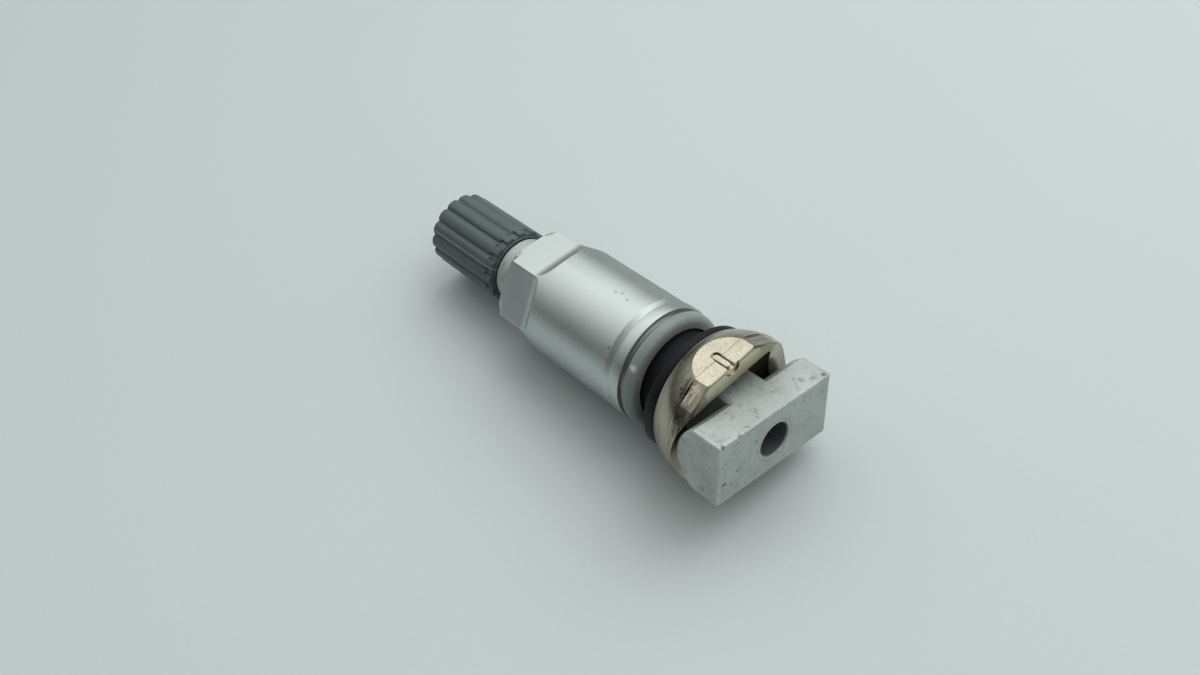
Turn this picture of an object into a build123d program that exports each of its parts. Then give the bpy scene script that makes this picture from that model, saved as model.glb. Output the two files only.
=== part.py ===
from build123d import *

import os
from math import cos, radians, sin

# Clamp-in valve stem of a tyre pressure sensor, lying on its side.
# X runs along the stem and out of the tee's flat face, Z is up, and the origin is the centre of that face.
# Sizes are in millimetres and angles in degrees.

# Tee head: a bar with flat top, bottom and front, and a round back
tee_end_setback = 0.6
tee_height = 8.7
tee_flat_depth = 4.0
tee_depth = 6.44
tee_edge = 0.35
tee_roll = -12.5

# Tapped hole in the tee, and the air passage that runs on from it
screw_bore_radius = 2.15
screw_bore_depth = 8.0
passage_radius = 1.2

# Neck between the tee and the grommet, and the threaded shank behind it
neck_width = 5.8
neck_inset = 0.2
neck_setback = 0.4
shank_radius = 5.0
shank_setback = 0.3
nose_length = 3.8
nose_step = 0.44
tip_radius = 3.86
tip_chamfer = 0.5

# Ball saddle: a slice of a ball with flats above and below and a trough for the tee's back
ball_radius = 9.5
ball_setback = 0.9
saddle_depth = 5.8
saddle_flat_depth = 0.75
saddle_hole_clearance = 0.4
saddle_edge = 0.2
seat_gap = 0.5
trough_radius = 12.0
trough_depth = 1.84
pocket_width = 13.4
pocket_height = 11.4
pocket_corner = 2.0
pocket_depth = 4.0
collar_length = 2.1
collar_step = 0.1
collar_facet_depth = 0.15
collar_facet_angle = 57.0
collar_edge = 0.3
bar_recess_length = 3.0
bar_recess_width = 1.15
bar_recess_depth = 0.4
bar_gap = 0.25
bar_length = 2.3
bar_width = 0.6
bar_height = 0.35
ejector_mark_radius = 1.15
ejector_mark_depth = 0.2

# Rubber grommet: a flange against the saddle and a sleeve for the wheel's valve hole
flange_overhang = 2.38
flange_thickness = 1.25
flange_edge = 0.35
sleeve_wall = 0.69
sleeve_length = 4.6
sleeve_chamfer = 0.4

# Washer, and the space that the wheel's rim takes between it and the flange
rim_gap = 3.2
washer_thickness = 1.85
washer_setback = 0.05
washer_hole_clearance = 0.13
washer_edge = 0.12

# Sleeve nut: lip, groove and barrel, with six flats milled at its end
lip_length = 1.8
lip_rise = 0.1
lip_edge = 0.2
groove_length = 0.96
groove_depth = 0.2
barrel_length = 13.8
barrel_radius = 7.5
hex_length = 6.45
hex_across_flats = 13.0
hex_runout = 1.6
hex_chamfer = 0.7
hex_sides = 6
hex_turn = 85.5
nut_mouth_chamfer = 0.5
counterbore_clearance = 0.45

# Cap: rounded ribs, a notch at the open end of each groove, and a plain ring
cap_length = 12.8
cap_end_wall = 1.7
cap_wall = 0.68
cap_end_round = 0.4
rib_count = 15
rib_inset = 0.7
rib_radius = 1.15
rib_turn = 20.2
notch_length = 1.2
notch_width = 1.15
notch_depth = 0.1
cap_ring_length = 0.3
cap_mouth_chamfer = 0.25
cap_seal_thickness = 1.0
cap_seal_clearance = 0.22

# Valve core
core_inset = 0.5
plug_radius = 2.55
plug_length = 4.1
plug_tang_length = 1.2
plug_tang_width = 2.2
plug_hole_clearance = 0.3
core_bore_clearance = 0.25
core_bore_length = 15.0
core_taper_length = 1.5
gasket_length = 1.3
gasket_setback = 0.1
core_barrel_radius = 1.9
core_barrel_wall = 0.55
core_barrel_length = 5.3
core_barrel_floor = 0.6
core_port_clearance = 0.25
pin_radius = 0.5
pin_inset = 0.3
pin_collar_clearance = 0.15
pin_collar_length = 0.4
pin_collar_setback = 0.5
seal_thickness = 0.85
cup_step = 0.05
cup_wall = 0.22
cup_wall_height = 0.45
cup_floor = 0.65
spring_wire_radius = 0.14
spring_turns = 5.0

# Fits
thread_clearance = 0.06
face_clearance = 0.05
core_clearance = 0.03
cap_gap = 0.1

# Sizes that follow from those
tee_length = 2 * (ball_radius - tee_end_setback)
nose_radius = tip_radius + nose_step
grommet_bore_radius = shank_radius + core_clearance
sleeve_radius = grommet_bore_radius + sleeve_wall
flange_radius = sleeve_radius + flange_overhang
saddle_hole_radius = shank_radius + saddle_hole_clearance
saddle_flat_height = ball_radius - saddle_flat_depth
collar_flat_height = saddle_flat_height - collar_step
collar_radius = ball_radius - collar_step
collar_facet_distance = collar_radius - collar_facet_depth
washer_hole_radius = sleeve_radius + washer_hole_clearance
washer_radius = barrel_radius - washer_setback
nut_bore_radius = shank_radius + thread_clearance
lip_radius = barrel_radius + lip_rise
hex_apothem = hex_across_flats / 2
cap_bore_radius = tip_radius + thread_clearance
cap_body_radius = cap_bore_radius + cap_wall
rib_circle_radius = cap_body_radius - rib_inset
rib_crest_radius = rib_circle_radius + rib_radius
notch_floor_radius = cap_body_radius - notch_depth
cap_seal_radius = cap_bore_radius - cap_seal_clearance
plug_bore_radius = plug_radius + thread_clearance
plug_hole_radius = pin_radius + plug_hole_clearance
core_bore_radius = core_barrel_radius + core_bore_clearance
core_barrel_bore = core_barrel_radius - core_barrel_wall
core_port_radius = pin_radius + core_port_clearance
pin_collar_radius = core_barrel_bore - pin_collar_clearance
cup_radius = core_barrel_radius - cup_step
seal_radius = cup_radius - cup_wall - core_clearance
spring_radius = (core_barrel_bore + pin_radius) / 2

# Stations along X, from the tee's face at zero towards the cap
trough_floor_x = -tee_depth - seat_gap
saddle_front_x = trough_floor_x + trough_depth
saddle_back_x = saddle_front_x - saddle_depth
ball_centre_x = saddle_front_x - ball_setback
flange_front_x = saddle_back_x - face_clearance
flange_back_x = flange_front_x - flange_thickness
sleeve_end_x = flange_back_x - sleeve_length
washer_front_x = flange_back_x - rim_gap
washer_back_x = washer_front_x - washer_thickness
nut_front_x = washer_back_x - face_clearance
lip_back_x = nut_front_x - lip_length
groove_back_x = lip_back_x - groove_length
hex_runout_x = groove_back_x - barrel_length
hex_root_x = hex_runout_x - hex_runout
nut_back_x = hex_runout_x - hex_length
shank_end_x = nut_back_x + shank_setback
nose_end_x = nut_back_x - nose_length
cap_open_x = nose_end_x - cap_gap
cap_closed_x = cap_open_x - cap_length
cap_floor_x = cap_closed_x + cap_end_wall
cap_seal_x = cap_floor_x + cap_seal_thickness
tip_x = cap_seal_x + cap_gap
plug_top_x = tip_x + core_inset
plug_bottom_x = plug_top_x + plug_length
core_taper_x = plug_bottom_x + face_clearance
core_barrel_top_x = plug_bottom_x + face_clearance
core_barrel_bottom_x = core_barrel_top_x + core_barrel_length
core_bore_end_x = core_taper_x + core_bore_length
pin_collar_x = core_barrel_top_x + pin_collar_setback
spring_top_x = pin_collar_x + pin_collar_length + face_clearance
spring_bottom_x = core_barrel_bottom_x - core_barrel_floor - face_clearance
seal_top_x = core_barrel_bottom_x + face_clearance
seal_bottom_x = seal_top_x + seal_thickness
cup_bottom_x = seal_bottom_x + face_clearance + cup_floor

# The tee lies turned about the stem, so its own length and height have their own directions
tee_along = (0, cos(radians(tee_roll)), sin(radians(tee_roll)))
tee_across = Plane((0, 0, 0), x_dir=(1, 0, 0), z_dir=(0, -tee_along[1], -tee_along[2]))


def across(x, x_dir=(0, 1, 0)):
    """Plane square to the stem at station x, facing the tee."""
    return Plane((x, 0, 0), x_dir=x_dir, z_dir=(1, 0, 0))


# Stem, turned and milled from one bar: tee, neck, threaded shank, nose and threaded tip
with BuildPart() as valve_stem:
    with BuildSketch(tee_across.offset(-tee_length / 2)):
        with BuildLine():
            Polyline(
                (-tee_flat_depth, tee_height / 2),
                (0, tee_height / 2),
                (0, -tee_height / 2),
                (-tee_flat_depth, -tee_height / 2),
            )
            ThreePointArc(
                (-tee_flat_depth, -tee_height / 2),
                (-tee_depth, 0),
                (-tee_flat_depth, tee_height / 2),
            )
        make_face()
    extrude(amount=tee_length)
    fillet(valve_stem.faces().sort_by(Axis.X)[-1].edges(), radius=tee_edge)
    neck_end_x = saddle_back_x + neck_setback
    with BuildSketch(across(neck_end_x, tee_along)):
        Circle(shank_radius)
        Rectangle(neck_width, tee_height - 2 * neck_inset, mode=Mode.INTERSECT)
    extrude(amount=-tee_flat_depth / 2 - neck_end_x)
    with BuildSketch(Plane.XY):
        with BuildLine():
            Polyline(
                (neck_end_x, 0),
                (neck_end_x, shank_radius),
                (shank_end_x, shank_radius),
                (shank_end_x - (shank_radius - nose_radius), nose_radius),
                (nose_end_x, nose_radius),
                (nose_end_x, tip_radius),
                (tip_x + tip_chamfer, tip_radius),
                (tip_x, tip_radius - tip_chamfer),
                (tip_x, 0),
                close=True,
            )
        make_face()
    revolve(axis=Axis.X)
    with BuildSketch(Plane.XY):
        with BuildLine():
            Polyline(
                (0, 0),
                (0, screw_bore_radius),
                (-screw_bore_depth, screw_bore_radius),
                (-screw_bore_depth - (screw_bore_radius - passage_radius), passage_radius),
                (core_bore_end_x + core_bore_radius - passage_radius, passage_radius),
                (core_bore_end_x, core_bore_radius),
                (core_taper_x + core_taper_length, core_bore_radius),
                (core_taper_x, plug_bore_radius),
                (tip_x, plug_bore_radius),
                (tip_x, 0),
                close=True,
            )
        make_face()
    revolve(axis=Axis.X, mode=Mode.SUBTRACT)
valve_stem.part.label = "valve_stem"

# Saddle, die-cast: a ball slice with a hole for the neck, a trough for the tee's back and a pocket behind it
with BuildPart() as saddle:
    with Locations((ball_centre_x, 0, 0)):
        Sphere(ball_radius)
    with Locations((saddle_front_x - saddle_depth / 2, 0, 0)):
        Box(saddle_depth, 2 * ball_radius, 2 * saddle_flat_height, mode=Mode.INTERSECT)
    flat_edges = saddle.faces().filter_by(Axis.Z).edges().filter_by(GeomType.CIRCLE)
    fillet(flat_edges, radius=saddle_edge)
    with BuildSketch(across(saddle_front_x - collar_length)):
        Circle(ball_radius + collar_length)
        with BuildSketch(mode=Mode.SUBTRACT):
            Circle(collar_radius)
            Rectangle(2 * ball_radius, 2 * collar_flat_height, mode=Mode.INTERSECT)
            for angle in (collar_facet_angle, -collar_facet_angle):
                Rectangle(2 * collar_facet_distance, 2 * ball_radius, rotation=angle, mode=Mode.INTERSECT)
    extrude(amount=collar_length, mode=Mode.SUBTRACT)
    fillet(saddle.faces().sort_by(Axis.X)[-1].edges().filter_by(Axis.Y), radius=collar_edge)
    with BuildSketch(Plane.XY):
        with BuildLine():
            Polyline(
                (saddle_front_x, collar_radius - collar_edge),
                (saddle_front_x, ball_radius),
                (saddle_front_x - collar_edge - collar_step, ball_radius),
                close=True,
            )
        make_face()
    revolve(axis=Axis.X, mode=Mode.SUBTRACT)
    with BuildSketch(Plane.XZ):
        with Locations((trough_floor_x + trough_radius, 0)):
            Circle(trough_radius)
    extrude(amount=ball_radius, both=True, mode=Mode.SUBTRACT)
    with BuildSketch(across(saddle_front_x)):
        RectangleRounded(pocket_width, pocket_height, pocket_corner)
    extrude(amount=-pocket_depth, mode=Mode.SUBTRACT)
    with BuildSketch(across(saddle_back_x)):
        Circle(saddle_hole_radius)
    extrude(amount=saddle_depth, mode=Mode.SUBTRACT)
    with BuildSketch(Plane.XY.offset(saddle_flat_height)):
        with Locations((saddle_front_x - bar_recess_length / 2 + bar_recess_width / 2, 0)):
            SlotOverall(bar_recess_length + bar_recess_width, bar_recess_width)
    extrude(amount=-bar_recess_depth - (saddle_flat_height - collar_flat_height), mode=Mode.SUBTRACT)
    bar_floor = collar_flat_height - bar_recess_depth
    with BuildSketch(Plane.XY.offset(bar_floor)):
        with Locations((saddle_front_x - bar_recess_length + bar_gap + bar_length / 2, 0)):
            SlotOverall(bar_length, bar_width)
    extrude(amount=bar_height)
    with BuildSketch(across(saddle_front_x)):
        with Locations((0, collar_flat_height)):
            Circle(ejector_mark_radius)
    extrude(amount=-ejector_mark_depth, mode=Mode.SUBTRACT)
saddle.part.label = "saddle"

# Grommet, moulded rubber: flange and sleeve in one, tight on the shank
with BuildPart() as grommet:
    with BuildSketch(Plane.XY):
        with BuildLine():
            Polyline(
                (flange_front_x, grommet_bore_radius),
                (flange_front_x, flange_radius - flange_edge),
                (flange_front_x - flange_edge, flange_radius),
                (flange_back_x + flange_edge, flange_radius),
                (flange_back_x, flange_radius - flange_edge),
                (flange_back_x, sleeve_radius),
                (sleeve_end_x + sleeve_chamfer, sleeve_radius),
                (sleeve_end_x, sleeve_radius - sleeve_chamfer),
                (sleeve_end_x, grommet_bore_radius),
                close=True,
            )
        make_face()
    revolve(axis=Axis.X)
grommet.part.label = "grommet"

# Washer that the nut turns against
with BuildPart() as nut_washer:
    with BuildSketch(across(washer_back_x)):
        Circle(washer_radius)
        Circle(washer_hole_radius, mode=Mode.SUBTRACT)
    extrude(amount=washer_thickness)
    chamfer(nut_washer.edges().filter_by(GeomType.CIRCLE).sort_by(SortBy.RADIUS)[-2:], length=washer_edge)
nut_washer.part.label = "nut_washer"

# Sleeve nut, turned, with six flats milled on its outer end that run out to the barrel on a slope
with BuildPart() as collar_nut:
    counterbore_depth = sleeve_length - washer_thickness + counterbore_clearance
    with BuildSketch(Plane.XY):
        with BuildLine():
            Polyline(
                (nut_back_x + hex_chamfer, barrel_radius),
                (nut_back_x, barrel_radius - hex_chamfer),
                (nut_back_x, nut_bore_radius + nut_mouth_chamfer),
                (nut_back_x + nut_mouth_chamfer, nut_bore_radius),
                (nut_front_x - counterbore_depth, nut_bore_radius),
                (nut_front_x - counterbore_depth, washer_hole_radius),
                (nut_front_x, washer_hole_radius),
                (nut_front_x, lip_radius - lip_edge),
                (nut_front_x - lip_edge, lip_radius),
                (lip_back_x + lip_edge, lip_radius),
                (lip_back_x, lip_radius - lip_edge),
                (lip_back_x, barrel_radius - groove_depth),
                (groove_back_x, barrel_radius - groove_depth),
                (groove_back_x, barrel_radius),
                close=True,
            )
        make_face()
    revolve(axis=Axis.X)
    runout_slope = hex_runout / (barrel_radius - hex_apothem)
    cutter_top_x = hex_root_x + runout_slope * (lip_radius - hex_apothem)
    for side in range(hex_sides):
        angle = radians(hex_turn + side * 360 / hex_sides)
        with BuildSketch(Plane((0, 0, 0), x_dir=(1, 0, 0), z_dir=(0, -sin(angle), cos(angle)))):
            with BuildLine():
                Polyline(
                    (nut_back_x - hex_chamfer, hex_apothem),
                    (hex_root_x, hex_apothem),
                    (cutter_top_x, lip_radius),
                    (nut_back_x - hex_chamfer, lip_radius),
                    close=True,
                )
            make_face()
        extrude(amount=barrel_radius, both=True, mode=Mode.SUBTRACT)
collar_nut.part.label = "collar_nut"

# Cap, moulded plastic
with BuildPart() as valve_cap:
    ribs_end_x = cap_open_x - cap_ring_length
    rib_pitch = 360 / rib_count
    with BuildSketch(across(cap_closed_x)):
        Circle(cap_body_radius)
        with PolarLocations(rib_circle_radius, rib_count, start_angle=rib_turn):
            Circle(rib_radius)
    extrude(amount=ribs_end_x - cap_closed_x)
    with BuildSketch(Plane.XY):
        with BuildLine():
            Polyline(
                (cap_closed_x, rib_crest_radius - cap_end_round),
                (cap_closed_x, 0),
                (cap_open_x, 0),
                (cap_open_x, rib_crest_radius),
                (cap_closed_x + cap_end_round, rib_crest_radius),
            )
            RadiusArc(
                (cap_closed_x + cap_end_round, rib_crest_radius),
                (cap_closed_x, rib_crest_radius - cap_end_round),
                -cap_end_round,
            )
        make_face()
    revolve(axis=Axis.X, mode=Mode.INTERSECT)
    with BuildSketch(across(ribs_end_x - notch_length)):
        with PolarLocations(notch_floor_radius + rib_radius / 2, rib_count, rib_turn + rib_pitch / 2):
            Rectangle(rib_radius, notch_width)
    extrude(amount=notch_length, mode=Mode.SUBTRACT)
    with BuildSketch(across(ribs_end_x)):
        Circle(cap_body_radius)
    extrude(amount=cap_ring_length)
    with BuildSketch(Plane.XY):
        with BuildLine():
            Polyline(
                (cap_floor_x, 0),
                (cap_floor_x, cap_bore_radius),
                (cap_open_x - cap_mouth_chamfer, cap_bore_radius),
                (cap_open_x, cap_bore_radius + cap_mouth_chamfer),
                (cap_open_x, 0),
                close=True,
            )
        make_face()
    revolve(axis=Axis.X, mode=Mode.SUBTRACT)
valve_cap.part.label = "valve_cap"

# Rubber disc in the cap's closed end
with BuildPart() as cap_seal:
    with BuildSketch(across(cap_floor_x)):
        Circle(cap_seal_radius)
    extrude(amount=cap_seal_thickness)
cap_seal.part.label = "cap_seal"

# Threaded plug of the core, with two flats for the core key
with BuildPart() as core_plug:
    with BuildSketch(across(plug_top_x)):
        Circle(plug_radius)
        Circle(plug_hole_radius, mode=Mode.SUBTRACT)
    extrude(amount=plug_length)
    with BuildSketch(across(plug_top_x)):
        Circle(plug_radius)
        Rectangle(2 * plug_radius, plug_tang_width, mode=Mode.SUBTRACT)
    extrude(amount=plug_tang_length, mode=Mode.SUBTRACT)
core_plug.part.label = "core_plug"

# Barrel of the core: open at the plug, with a ported floor that the seal closes
with BuildPart() as core_barrel:
    with BuildSketch(Plane.XY):
        with BuildLine():
            Polyline(
                (core_barrel_top_x, core_barrel_bore),
                (core_barrel_top_x, core_barrel_radius),
                (core_barrel_bottom_x, core_barrel_radius),
                (core_barrel_bottom_x, core_port_radius),
                (core_barrel_bottom_x - core_barrel_floor, core_port_radius),
                (core_barrel_bottom_x - core_barrel_floor, core_barrel_bore),
                close=True,
            )
        make_face()
    revolve(axis=Axis.X)
core_barrel.part.label = "core_barrel"

# Tapered gasket round the barrel, seated in the stem's taper
with BuildPart() as core_gasket:
    taper_slope = (plug_bore_radius - core_bore_radius) / core_taper_length
    gasket_top_x = core_taper_x + gasket_setback
    gasket_top_radius = plug_bore_radius - core_clearance - taper_slope * gasket_setback
    gasket_hole_radius = core_barrel_radius + core_clearance
    with BuildSketch(Plane.XY):
        with BuildLine():
            Polyline(
                (gasket_top_x, gasket_hole_radius),
                (gasket_top_x, gasket_top_radius),
                (gasket_top_x + gasket_length, gasket_top_radius - taper_slope * gasket_length),
                (gasket_top_x + gasket_length, gasket_hole_radius),
                close=True,
            )
        make_face()
    revolve(axis=Axis.X)
core_gasket.part.label = "core_gasket"

# Pin, with the collar that the spring pushes on
with BuildPart() as core_pin:
    with BuildSketch(across(tip_x + pin_inset)):
        Circle(pin_radius)
    extrude(amount=cup_bottom_x - tip_x - pin_inset)
    with BuildSketch(across(pin_collar_x)):
        Circle(pin_collar_radius)
    extrude(amount=pin_collar_length)
core_pin.part.label = "core_pin"

# Rubber ring that closes the barrel's port
with BuildPart() as core_seat_seal:
    with BuildSketch(across(seal_top_x)):
        Circle(seal_radius)
        Circle(pin_radius + core_clearance, mode=Mode.SUBTRACT)
    extrude(amount=seal_thickness)
core_seat_seal.part.label = "core_seat_seal"

# Cup that carries the ring on the pin
with BuildPart() as core_cup:
    with BuildSketch(across(cup_bottom_x)):
        Circle(cup_radius)
        Circle(pin_radius + core_clearance, mode=Mode.SUBTRACT)
    extrude(amount=-cup_floor)
    with BuildSketch(across(cup_bottom_x - cup_floor)):
        Circle(cup_radius)
        Circle(seal_radius + core_clearance, mode=Mode.SUBTRACT)
    extrude(amount=-cup_wall_height)
core_cup.part.label = "core_cup"

# Coil spring between the pin's collar and the barrel's floor
with BuildPart() as core_spring:
    spring_length = spring_bottom_x - spring_top_x - 2 * spring_wire_radius
    spring_start = (spring_top_x + spring_wire_radius, 0, 0)
    with BuildLine():
        coil = Helix(spring_length / spring_turns, spring_length, spring_radius, spring_start, (1, 0, 0))
    with BuildSketch(Plane(coil @ 0, z_dir=coil % 0)):
        Circle(spring_wire_radius)
    sweep(is_frenet=True)
core_spring.part.label = "core_spring"

os.makedirs("parts", exist_ok=True)
for piece in (
    valve_stem,
    saddle,
    grommet,
    nut_washer,
    collar_nut,
    valve_cap,
    cap_seal,
    core_plug,
    core_barrel,
    core_gasket,
    core_pin,
    core_seat_seal,
    core_cup,
    core_spring,
):
    export_step(piece.part, f"parts/{piece.part.label}.step")
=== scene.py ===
from math import atan2, ceil, cos, hypot, pi, radians, sin, tau

import bmesh
import bpy
from mathutils import Euler, Matrix, Vector


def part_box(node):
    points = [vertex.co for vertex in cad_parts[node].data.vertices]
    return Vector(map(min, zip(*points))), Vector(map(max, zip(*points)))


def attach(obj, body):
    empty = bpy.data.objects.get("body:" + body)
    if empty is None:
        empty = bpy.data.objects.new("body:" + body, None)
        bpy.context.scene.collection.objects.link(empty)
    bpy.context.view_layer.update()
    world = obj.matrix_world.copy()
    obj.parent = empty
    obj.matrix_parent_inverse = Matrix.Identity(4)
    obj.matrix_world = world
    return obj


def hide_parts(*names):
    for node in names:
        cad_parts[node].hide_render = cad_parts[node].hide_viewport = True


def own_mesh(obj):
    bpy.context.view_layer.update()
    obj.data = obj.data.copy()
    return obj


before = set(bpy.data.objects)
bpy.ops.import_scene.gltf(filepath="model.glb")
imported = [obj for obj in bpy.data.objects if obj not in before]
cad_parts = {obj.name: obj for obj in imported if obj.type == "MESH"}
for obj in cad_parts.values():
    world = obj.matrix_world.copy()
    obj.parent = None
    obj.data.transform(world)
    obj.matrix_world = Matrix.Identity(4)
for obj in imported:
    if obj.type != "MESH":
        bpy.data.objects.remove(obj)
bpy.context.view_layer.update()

mm = 0.001


# Stem shank: the long turned aluminium body behind the tee, with a rolled thread for the sleeve nut,
# a plain nose and a finer thread for the cap. It is bored through for the air and for the valve core.
stem_low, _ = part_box("valve_stem")
nut_low, nut_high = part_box("collar_nut")
cap_low, cap_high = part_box("valve_cap")
_, plug_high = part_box("core_plug")
stem_axis = (1, 0, 0)
shank_radius = 5.0 * mm
shank_start = -10.5 * mm
shank_end = nut_low.x + 0.3 * mm
shank_chamfer = 0.7 * mm
nut_pitch = 1.0 * mm
nut_thread_depth = 0.5 * mm
nut_thread_start = shank_end - shank_chamfer
nose_radius = 4.3 * mm
nose_end = cap_high.x + 0.1 * mm
nose_chamfer = 0.15 * mm
tip_radius = 3.86 * mm
tip_chamfer = 0.5 * mm
tip_pitch = 0.794 * mm
tip_thread_depth = 0.42 * mm
tip_root = tip_radius - tip_thread_depth
tip_thread_end = nose_end - 0.8 * mm
tip_relief = nose_end - 0.6 * mm
plug_bore = 2.61 * mm
core_bore = 2.15 * mm
core_bore_start = plug_high.x + 1.5 * mm
core_bore_end = core_bore_start + 13.0 * mm
passage_radius = 1.2 * mm
thread_steps = 64
thread_spare_turns = 2
thread_root_flat = 0.13
thread_crest_start = 0.44
thread_crest_end = 0.69
merge_gap = 0.001 * mm
plane_gap = 0.01 * mm


def everything(bm):
    """All the vertices, edges and faces of a bmesh."""
    return bm.verts[:] + bm.edges[:] + bm.faces[:]


def picked(items, kind):
    """The vertices, edges or faces among what an operator gives back."""
    return [item for item in items if isinstance(item, kind)]


def thread(start, end, root, crest, pitch):
    """A new bmesh with a right-hand thread round X as an open tube, cut square at both ends."""
    bm = bmesh.new()
    turns = ceil((end - start) / pitch) + thread_spare_turns
    shape = (
        (0.0, root),
        (thread_root_flat, root),
        (thread_crest_start, crest),
        (thread_crest_end, crest),
        (1.0, root),
    )
    line = [bm.verts.new((start + (share - 1) * pitch, 0, radius)) for share, radius in shape]
    edges = [bm.edges.new(pair) for pair in zip(line, line[1:])]
    step = (pitch / thread_steps, 0, 0)
    bmesh.ops.spin(bm, geom=line + edges, axis=stem_axis, dvec=step, angle=tau, steps=thread_steps)
    turn = everything(bm)
    for number in range(1, turns):
        copied = bmesh.ops.duplicate(bm, geom=turn)["geom"]
        moved = picked(copied, bmesh.types.BMVert)
        bmesh.ops.translate(bm, verts=moved, vec=(number * pitch, 0, 0))
    bmesh.ops.remove_doubles(bm, verts=bm.verts, dist=merge_gap)
    for station, side in ((start, -1), (end, 1)):
        bmesh.ops.bisect_plane(
            bm, geom=everything(bm), plane_co=(station, 0, 0), plane_no=(side, 0, 0), clear_outer=True
        )
    return bm


def off_axis(vert):
    """A vertex's distance from the stem's axis."""
    return hypot(vert.co.y, vert.co.z)


def draw_to(vert, radius):
    """Moves a vertex straight in or out to a distance from the stem's axis."""
    share = radius / off_axis(vert)
    vert.co.y *= share
    vert.co.z *= share


def rim(bm, station):
    """The open edges that lie in the plane X = station."""
    return [
        edge
        for edge in bm.edges
        if edge.is_boundary and all(abs(vert.co.x - station) < plane_gap for vert in edge.verts)
    ]


def tube(bm, edges, *circles):
    """Draws a rim on through circles round X, each given by its station and radius."""
    for station, radius in circles:
        made = bmesh.ops.extrude_edge_only(bm, edges=edges)["geom"]
        for vert in picked(made, bmesh.types.BMVert):
            draw_to(vert, radius)
            vert.co.x = station
        edges = [edge for edge in picked(made, bmesh.types.BMEdge) if edge.is_boundary]


def chamfer_from(bm, station, radius, end):
    """Draws the vertices up to an end in to a 45 degree cone that starts at a station and radius."""
    for vert in bm.verts:
        limit = radius + vert.co.x - station
        if station <= vert.co.x <= end and off_axis(vert) > limit:
            draw_to(vert, limit)


def mesh_from(name, bm):
    """A mesh made from a bmesh, which is freed."""
    mesh = bpy.data.meshes.new(name)
    bm.to_mesh(mesh)
    bm.free()
    return mesh


def join(bm, other):
    """Adds another bmesh to this one and frees it."""
    mesh = mesh_from("joined", other)
    bm.from_mesh(mesh)
    bpy.data.meshes.remove(mesh)


def in_scene(name, data):
    """A new object in the scene that shows a mesh, a lamp or a camera."""
    made = bpy.data.objects.new(name, data)
    bpy.context.scene.collection.objects.link(made)
    return made


def finish_piece(name, bm, body, nodes, sharp_degrees=35):
    """Closes a bmesh as a smooth-shaded object that rides on a body and stands for CAD nodes."""
    bmesh.ops.recalc_face_normals(bm, faces=bm.faces)
    mesh = mesh_from(name, bm)
    mesh.shade_smooth()
    mesh.set_sharp_from_angle(angle=radians(sharp_degrees))
    piece = in_scene(name, mesh)
    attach(piece, body)
    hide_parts(*nodes)
    return piece


shank = thread(stem_low.x, tip_thread_end, tip_root, tip_radius, tip_pitch)
chamfer_from(shank, stem_low.x, tip_radius - tip_chamfer, tip_thread_end)
tube(
    shank,
    rim(shank, tip_thread_end),
    (tip_relief, tip_root),
    (nose_end, tip_root),
    (nose_end, nose_radius - nose_chamfer),
    (nose_end + nose_chamfer, nose_radius),
    (nut_thread_start, nose_radius),
)
tube(
    shank,
    rim(shank, stem_low.x),
    (stem_low.x, plug_bore + nose_chamfer),
    (stem_low.x + nose_chamfer, plug_bore),
    (plug_high.x, plug_bore),
    (core_bore_start, core_bore),
    (core_bore_end, core_bore),
    (core_bore_end + core_bore - passage_radius, passage_radius),
    (shank_start, passage_radius),
)
join(shank, thread(nut_thread_start, shank_start, shank_radius - nut_thread_depth, shank_radius, nut_pitch))
chamfer_from(shank, nut_thread_start, nose_radius, shank_start)
for station in (nut_thread_start, shank_start):
    bmesh.ops.bridge_loops(shank, edges=rim(shank, station))
bmesh.ops.remove_doubles(shank, verts=shank.verts, dist=merge_gap)
stem_shank = finish_piece("stem_shank", shank, "stem", ["valve_stem"])


# Stem tee: the milled head in one piece with the shank, a bar with a flat front and a round back.
# A flat-sided neck joins it to the shank, and a tapped hole in its face takes the sensor's screw.
tee_roll = radians(-12.5)
tee_length = 17.8 * mm
tee_height = 8.7 * mm
tee_flat = 4.0 * mm
tee_depth = 6.44 * mm
tee_edge = 0.25 * mm
tee_edge_steps = 6
tee_crease = radians(50)
tee_far_round = 1.1 * mm
tee_far_extra = 0.5 * mm
front_facing = 0.99
back_facing = -0.4
back_rise = tee_depth - tee_flat
back_radius = ((tee_height / 2) ** 2 + back_rise**2) / (2 * back_rise)
back_half = atan2(tee_height / 2, back_radius - back_rise)
back_steps = 24
neck_width = 5.8 * mm
hole_radius = 2.15 * mm
hole_mouth = 2.35 * mm
hole_ring = 2.7 * mm
hole_ring_half = 0.03 * mm
hole_ring_fade = 0.12 * mm
hole_lead_in = 4.0 * mm
hole_depth = 8.0 * mm
hole_point = 0.9 * mm
hole_pitch = 0.8 * mm
hole_thread_depth = 0.36 * mm
hole_runout = hole_pitch / 4
blasted_colours = ((0.45, 0.485, 0.465), (0.55, 0.585, 0.565))
blasted_roughness = (0.68, 0.58)
stain_colour = (0.30, 0.325, 0.31)
stain_span = (0.52, 0.66)
stain_strength = 0.55
worn_colour = (0.64, 0.68, 0.66)
worn_span = (0.42, 0.62)
worn_width = 0.45 * mm
worn_strength = 0.55
scuff_colour = (0.24, 0.26, 0.25)
scuff_strength = 0.6
scuff_spots = (
    ((-1.8, -0.62, 4.6), (0.45, 0.16, 0.3)),
    ((-1.25, -0.95, 4.7), (0.45, 0.14, 0.3)),
    ((-0.75, -1.3, 4.75), (0.35, 0.16, 0.3)),
    ((-0.47, -3.2, 5.2), (0.3, 0.3, 0.3)),
    ((-1.6, 6.4, 3.0), (0.6, 0.5, 0.3)),
    ((-0.9, 7.6, 2.8), (0.35, 0.8, 0.3)),
)
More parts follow.
